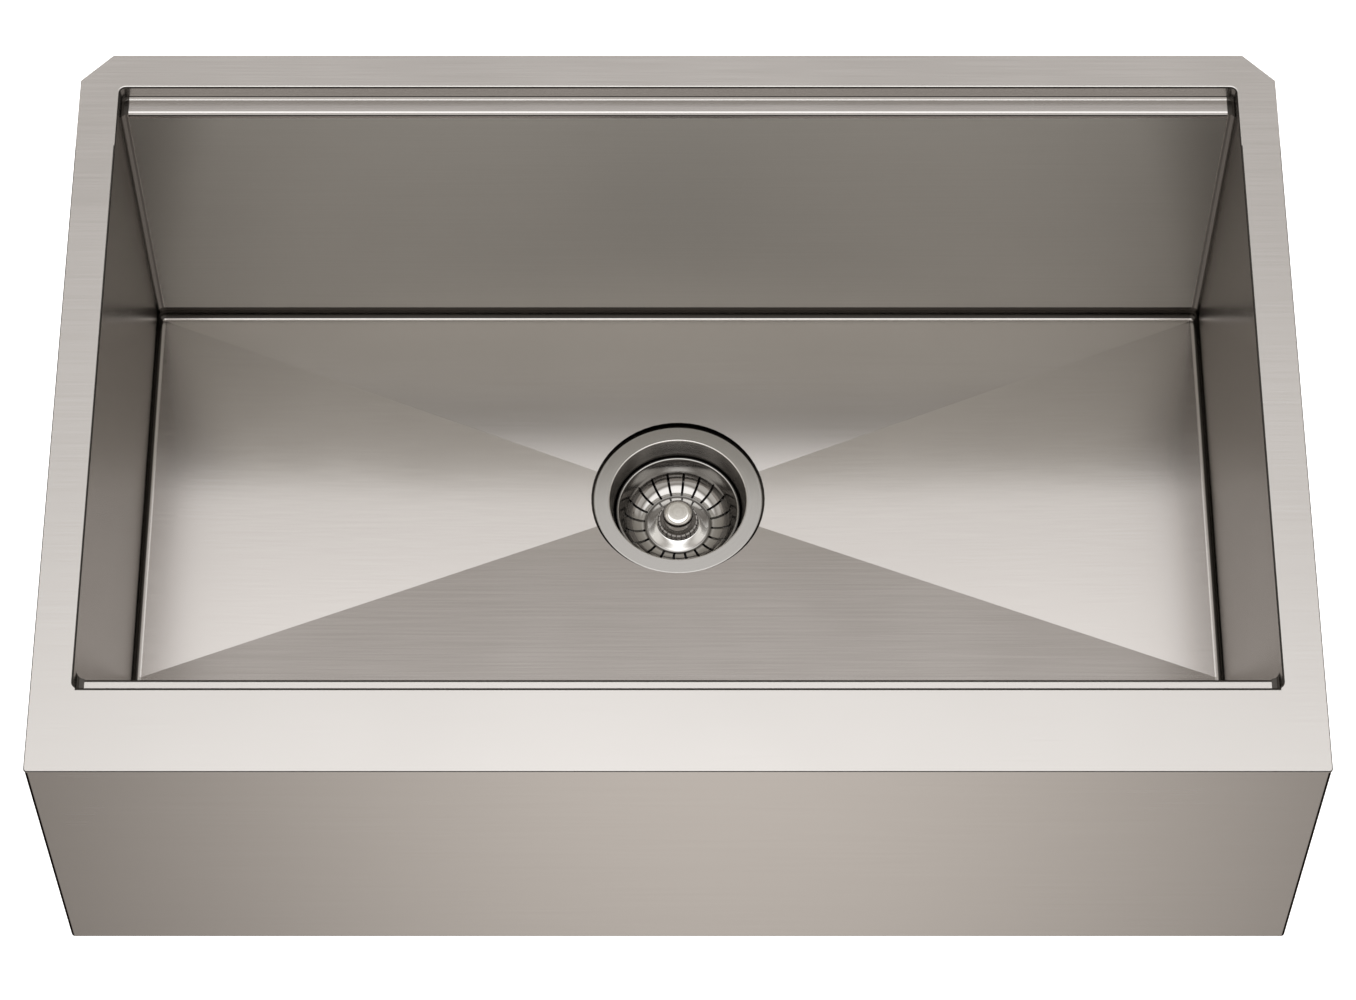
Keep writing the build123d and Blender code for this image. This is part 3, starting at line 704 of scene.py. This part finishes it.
locknut = {
    "steps": 144, "bore": 51.95, "body": 57.6, "top": 7.9, "bottom": 18.9, "bevel": 0.6,
    "grooveFrom": 1.4, "grooveTo": 3.0, "groove": 1.2,        # a groove in its underside
    "lugs": 6, "lugHalfAngle": 5.1, "lugReach": 0.0058, "soften": 0.0007,
}


def addLocknut(s):
    bore, body, top, bottom, bevel = (s[key] for key in ("bore", "body", "top", "bottom", "bevel"))
    grooveFrom, grooveTo, grooveTop = bore + s["grooveFrom"], bore + s["grooveTo"], bottom - s["groove"]
    nut = lathe(atDepth(closed([
        (bore, top + bevel), (bore + bevel, top), (body, top), (body, bottom),
        (grooveTo + bevel, bottom), (grooveTo, grooveTop), (grooveFrom, grooveTop),
        (grooveFrom - bevel, bottom), (bore + bevel, bottom), (bore, bottom - bevel)])), s["steps"])
    step = 360 / s["lugs"]

    def onLug(face, spots):
        angle = math.degrees(math.atan2(face.center.y, face.center.x)) % step
        outside = face.center.xy.length > (body - bevel / 2) / 1000
        return outside and min(angle, step - angle) < s["lugHalfAngle"]

    enterEdit(nut)
    pick(nut, 'FACE', onLug)
    bpy.ops.mesh.extrude_region_shrink_fatten(TRANSFORM_OT_shrink_fatten={"value": s["lugReach"]})
    leaveEdit()
    bevelled(nut, s["soften"], 40)
    settle(nut, "strainerLocknut", "castZinc")
    standFor(nut, "sink", "cast_zinc", "strainer_locknut")


couplingNut = {
    "acrossFlats": 0.056, "top": 50.0, "bottom": 71.2, "shoulder": 67.7, "threadBore": 23.4,
    "tubeBore": 19.85, "mouth": 0.9, "steps": 96,
    "chamferRadius": 28.6, "cornerRadius": 32.2, "chamferDepth": 1.9, "soften": 0.0003,
}


def addCouplingNut(s):
    top, bottom, threadBore, mouth = s["top"], s["bottom"], s["threadBore"], s["mouth"]
    clearSelection()
    bpy.ops.mesh.primitive_cylinder_add(vertices=6, radius=s["acrossFlats"] / 2 / math.cos(math.pi / 6),
                                        depth=(bottom - top) / 1000, rotation=(0, 0, math.pi / 2),
                                        location=(0, 0, flangeZ - (top + bottom) / 2000))
    nut = bpy.context.object
    bpy.ops.object.transform_apply(location=True, rotation=True, scale=True)
    # turned chamfers at both ends, then the stepped bore, whose cutter sticks out by one at each end
    cutWith(nut, lathe(atDepth([
        (s["chamferRadius"], top), (s["cornerRadius"], top + s["chamferDepth"]),
        (s["cornerRadius"], bottom - s["chamferDepth"]), (s["chamferRadius"], bottom)]), s["steps"]),
        'INTERSECT')
    cutWith(nut, lathe(atDepth([
        (threadBore + mouth, top - 1), (threadBore + mouth, top), (threadBore, top + mouth),
        (threadBore, s["shoulder"]), (s["tubeBore"], s["shoulder"]), (s["tubeBore"], bottom + 1)]),
        s["steps"]))
    bevelled(nut, s["soften"], 28)
    settle(nut, "couplingNut", "nutBrass")
    standFor(nut, "sink", "nut_brass", "coupling_nut")


tailTube = {
    "steps": 96,
    # up inside, over the flange that the nut holds, down outside and round the lower end
    "outline": [(18.05, 66.9), (18.25, 66.5), (22.3, 66.5), (22.5, 66.7), (22.5, 67.5), (22.3, 67.7),
                (19.75, 67.7), (19.45, 68.0), (19.45, 74.1), (19.05, 74.6), (19.05, 167.6),
                (18.85, 168.05), (18.25, 168.05), (18.05, 167.7)],
}


def addTailTube(s):
    tube = lathe(atDepth(closed(s["outline"])), s["steps"])
    settle(tube, "tailTube", "tubeChrome")
    standFor(tube, "sink", "tube_steel", "tailpiece")


basket = {
    "steps": 160,
    # from the post's hole over the hub, up the bend and wall, round the rim and back underneath
    "outline": [(3.0, 34.0), (9.0, 34.0), (15.77, 34.0, 2.6, 2), (18.7, 35.36), (20.9, 36.36),
                (23.28, 37.44, 2.8, 4), (24.4, 37.3), (25.2, 37.2), ((37.0, 32.6), (40.4, 26.5), 12),
                (41.8, 22.2), (43.3, 17.54), (43.8, 16.0, 0.9, 6), (45.8, 16.0, 0.7, 4),
                (45.8, 17.6, 0.7, 4), (44.24, 17.6, 0.28, 2), (43.76, 19.08), (42.66, 22.48),
                (41.26, 26.78), ((37.64, 33.24), (25.22, 38.1), 12), (24.5, 38.19),
                (23.13, 38.36, 3.7, 4), (20.53, 37.18), (18.32, 36.18), (15.5, 34.9, 1.7, 2),
                (9.0, 34.9), (3.0, 34.9)],
    "slots": 20, "slotTurn": 11.6, "slotHalf": 0.00095, "slotFrom": 0.0245, "slotTo": 0.0397,
    "slotTop": 18.0, "slotBottom": 39.2, "slotSides": 20,
}


def addBasketCup(s):
    cup = lathe(atDepth(closed(outline(s["outline"]))), s["steps"])
    middle = (s["slotFrom"] + s["slotTo"]) / 2
    reach = (s["slotTo"] - s["slotFrom"]) / 2 - s["slotHalf"]
    cutters = []
    for k in range(s["slots"]):
        turn = math.radians(s["slotTurn"] + k * 360 / s["slots"])
        clearSelection()
        bpy.ops.mesh.primitive_cylinder_add(
            vertices=s["slotSides"], radius=s["slotHalf"], depth=(s["slotBottom"] - s["slotTop"]) / 1000,
            location=(middle * math.cos(turn), middle * math.sin(turn),
                      flangeZ - (s["slotTop"] + s["slotBottom"]) / 2000), rotation=(0, 0, turn))
        cutter = bpy.context.object
        for vertex in cutter.data.vertices:
            vertex.co.x += math.copysign(reach, vertex.co.x)
        bpy.ops.object.transform_apply(location=True, rotation=True)
        cutters.append(cutter)
    cutWith(cup, joined(*cutters))
    settle(cup, "basketCup", "basketSteel")
    standFor(cup, "basket", "basket_steel", "basket_cup")


knob = {
    "steps": 96,
    # crowned cap, short neck, and a bell that comes down steeply on the hub
    "outline": [(3.5, 18.2), (7.0, 18.2), (7.2, 18.2), ((9.71, 18.9), (11.43, 20.72), 7),
                (11.6, 21.36, 0.5, 3), (10.2, 22.2, 0.5, 2), (10.2, 23.5, 0.8, 2), (10.9, 24.05),
                ((12.34, 25.28), (15.7, 33.4), 8), (15.7, 33.98)],
}


def addKnob(s):
    cap = lathe(atDepth(outline(s["outline"])), s["steps"])
    settle(cap, "basketKnob", "knobSteel")
    standFor(cap, "basket", "basket_steel", "basket_knob")


# each pad's place: the way it faces, and the way it runs
pads = {
    "rib": 0.0014, "draft": 0.0006, "pocket": 0.0009, "soften": 0.0003, "cell": 0.0165,
    "corner": 0.006, "cornerSteps": 5,
    "places": {
        "floor_pad_left": ((-0.0234, 0, -1), (1, 0, 0)),
        "floor_pad_right": ((0.0234, 0, -1), (1, 0, 0)),
        "floor_pad_front": ((0, -0.0592, -1), (1, 0, 0)),
        "floor_pad_back": ((0, 0.0602, -1), (1, 0, 0)),
        "wall_pad_left": ((-1, 0, 0), (0, 1, 0)),
        "wall_pad_right": ((1, 0, 0), (0, 1, 0)),
        "wall_pad_front": ((0, -1, 0), (1, 0, 0)),
        "wall_pad_back": ((0, 1, 0), (1, 0, 0)),
        "apron_pad": ((0, 1, 0), (1, 0, 0)),
    },
}


def addPad(nodeName, outward, along, s):
    # its size is read from its node, along the two directions in its plane and the way it faces
    facing = Vector(outward).normalized()
    first = (Vector(along) - facing * facing.dot(Vector(along))).normalized()
    second = facing.cross(first)
    spans = []
    for axis in (first, second, facing):
        reach = [axis.dot(vertex.co) for vertex in nodes[nodeName].data.vertices]
        spans.append((min(reach), max(reach)))
    long, wide, deep = (high - low for low, high in spans)
    clearSelection()
    bpy.ops.mesh.primitive_grid_add(x_subdivisions=round(long / s["cell"]),
                                    y_subdivisions=round(wide / s["cell"]), size=1)
    pad = bpy.context.object
    pad.scale = (long, wide, 1)
    bpy.ops.object.transform_apply(scale=True)
    enterEdit(pad)
    bpy.ops.mesh.extrude_region_move(TRANSFORM_OT_translate={"value": (0, 0, deep)})
    bpy.ops.mesh.inset(thickness=s["rib"], use_individual=True)
    bpy.ops.mesh.inset(thickness=s["draft"], depth=-s["pocket"], use_individual=True)
    pick(pad, 'EDGE', lambda edge, ends: all(
        abs(abs(e.x) - long / 2) < near and abs(abs(e.y) - wide / 2) < near for e in ends))
    bpy.ops.mesh.bevel(offset=s["corner"], segments=s["cornerSteps"], affect='EDGES')
    leaveEdit()
    bevelled(pad, s["soften"], 35)
    turn = Matrix((first, second, facing)).transposed().to_4x4()
    middle = (first * sum(spans[0]) + second * sum(spans[1])) / 2 + facing * spans[2][0]
    pad.matrix_world = Matrix.Translation(middle) @ turn
    settle(pad, camel(nodeName), "padRubber")
    standFor(pad, "sink", "pad_rubber", nodeName)


brace = {
    "sheet": 0.0015, "fold": 0.0024, "foldSteps": 4, "soften": 0.0003,
    "windowHalf": 0.012, "windowReach": 0.023, "windowSteps": 48, "barLength": 0.02,
    "weldRadius": 0.0032, "weldHeight": 0.0004, "weldFromWeb": 0.0105,
    "weldZ": (-0.07, -0.105, -0.165, -0.2),
}


def addWeld(place, s):
    # a flat round bump on a flange
    clearSelection()
    bpy.ops.mesh.primitive_uv_sphere_add(segments=24, ring_count=12, radius=s["weldRadius"],
                                         location=place,
                                         scale=(1, s["weldHeight"] / s["weldRadius"], 1))
    bpy.ops.object.transform_apply(location=True, scale=True)
    return bpy.context.object


def addBrace(nodeName, toward, s):
    # toward is the side, along X, that its flanges point to
    low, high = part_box(nodeName)
    webX = high.x - s["sheet"] / 2 if toward < 0 else low.x + s["sheet"] / 2
    middle = (low + high) / 2
    ends = (low.y + s["sheet"], high.y - s["sheet"])
    clearSelection()
    bpy.ops.mesh.primitive_cube_add(size=1, location=(webX, middle.y, middle.z),
                                    scale=(s["sheet"], high.y - low.y, high.z - low.z))
    channel = bpy.context.object
    bpy.ops.object.transform_apply(location=True, scale=True)
    enterEdit(channel)
    for y in ends:
        bpy.ops.mesh.select_all(action='SELECT')
        bpy.ops.mesh.bisect(plane_co=(0, y, 0), plane_no=(0, 1, 0))
    # the strips along both ends are pulled out into flanges, and their heels are rounded
    pick(channel, 'FACE', lambda face, spots: face.normal.x * toward > 0.9
         and not ends[0] < face.center.y < ends[1])
    reach = (high.x - low.x - s["sheet"]) * toward
    bpy.ops.mesh.extrude_region_move(TRANSFORM_OT_translate={"value": (reach, 0, 0)})
    heel = webX - toward * s["sheet"] / 2
    pick(channel, 'EDGE', lambda edge, spots: all(
        abs(v.x - heel) < near and min(v.y - low.y, high.y - v.y) < near for v in spots)
        and abs(spots[0].y - spots[1].y) < near)
    bpy.ops.mesh.bevel(offset=s["fold"], segments=s["foldSteps"], affect='EDGES')
    leaveEdit()
    # the oval window, cut by a stretched round bar
    clearSelection()
    bpy.ops.mesh.primitive_cylinder_add(vertices=s["windowSteps"], radius=s["windowHalf"],
                                        depth=s["barLength"], location=(webX, middle.y, middle.z),
                                        rotation=(0, math.pi / 2, 0))
    bar = bpy.context.object
    bpy.ops.object.transform_apply(location=True, rotation=True)
    for vertex in bar.data.vertices:
        vertex.co.z += math.copysign(s["windowReach"], vertex.co.z - middle.z)
    cutWith(channel, bar)
    bevelled(channel, s["soften"], 50)
    # spot welds pressed in the two flanges
    weldX = webX + toward * s["weldFromWeb"]
    joined(channel, *(addWeld((weldX, y, z), s) for y in ends for z in s["weldZ"]))
    settle(channel, camel(nodeName), "zincSheet")
    standFor(channel, "sink", "hidden_steel", nodeName)


addStrainerBody(strainer)
addLocknut(locknut)
addCouplingNut(couplingNut)
addTailTube(tailTube)
addBasketCup(basket)
addKnob(knob)
print("drain pieces made")
for padNode, (outward, along) in pads["places"].items():
    addPad(padNode, outward, along, pads)
addBrace("apron_brace_left", -1, brace)
addBrace("apron_brace_right", 1, brace)
print("pads and braces made")

clearSelection()
